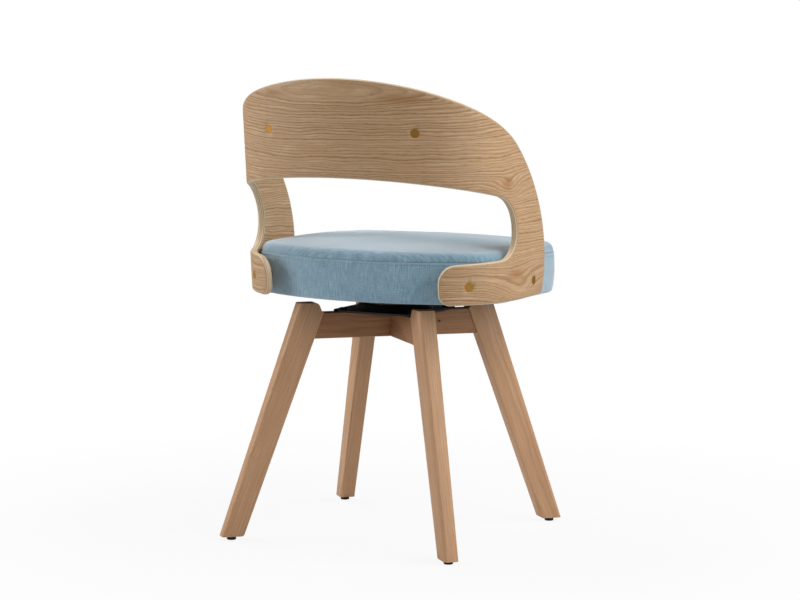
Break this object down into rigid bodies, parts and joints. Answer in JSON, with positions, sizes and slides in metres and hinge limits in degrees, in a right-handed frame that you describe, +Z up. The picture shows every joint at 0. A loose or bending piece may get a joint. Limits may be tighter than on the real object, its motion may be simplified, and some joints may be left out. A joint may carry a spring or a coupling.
{
  "type": "swivel dining chair",
  "caption": "Dining chair with a swivelling upholstered seat, a bent plywood back that wraps round it, and a splayed wooden base.",
  "frame": {"origin": "on the floor, under the swivel axis", "axes": "+Z up along the swivel axis; the sitter faces -Y; +X is the sitter's left"},
  "size_m": [0.471, 0.4409, 0.744],
  "materials": {
    "beech": "clear lacquered beech",
    "veneered_plywood": "open-pored ash veneer, matt lacquer",
    "birch_plywood": "sanded",
    "woven_cover": "woven, matt",
    "foam": "cut foam",
    "dust_cloth": "spunbond",
    "black_plastic": "moulded",
    "nylon": "moulded",
    "black_steel": "black powder coat",
    "zinc_steel": "zinc plated",
    "bearing_steel": "polished",
    "brass_plate": "satin brass plated"
  },
  "bodies": {
    "base": {"leg_rear_left": "beech", "leg_rear_right": "beech", "leg_front_right": "beech", "leg_front_left": "beech", "cross_rail_upper": "beech", "cross_rail_lower": "beech", "leg_dowels": "beech", "floor_glides": "black_plastic", "glide_nails": "zinc_steel", "swivel_lower_plate": "black_steel", "swivel_rivet": "zinc_steel", "rivet_washer": "nylon", "base_bolts": "zinc_steel", "base_inserts": "zinc_steel"},
    "cage": {"ball_cage": "black_plastic", "swivel_balls": "bearing_steel"},
    "seat": {"swivel_upper_plate": "black_steel", "seat_bolts": "zinc_steel", "seat_t_nuts": "zinc_steel", "seat_board": "birch_plywood", "side_block_left": "beech", "side_block_right": "beech", "block_screws": "zinc_steel", "seat_foam": "foam", "seat_cover": "woven_cover", "dust_cover": "dust_cloth", "back_shell": "veneered_plywood", "side_screws": "brass_plate", "side_inserts": "zinc_steel", "shell_spacers": "black_plastic", "back_pad_core": "birch_plywood", "back_pad_foam": "foam", "back_pad_cover": "woven_cover", "back_screws": "brass_plate", "back_t_nuts": "zinc_steel"}
  },
  "joints": [
    {"name": "seat_swivel", "type": "hinge", "parent": "base", "child": "seat", "pos_m": [0, 0, 0.378], "axis": [0, 0, 1], "continuous": true},
    {"name": "cage_roll", "type": "hinge", "parent": "base", "child": "cage", "pos_m": [0, 0, 0.378], "axis": [0, 0, 1], "continuous": true}
  ],
  "couplings": [
    {"joint": "cage_roll", "follows": "seat_swivel", "ratio": 0.5}
  ]
}
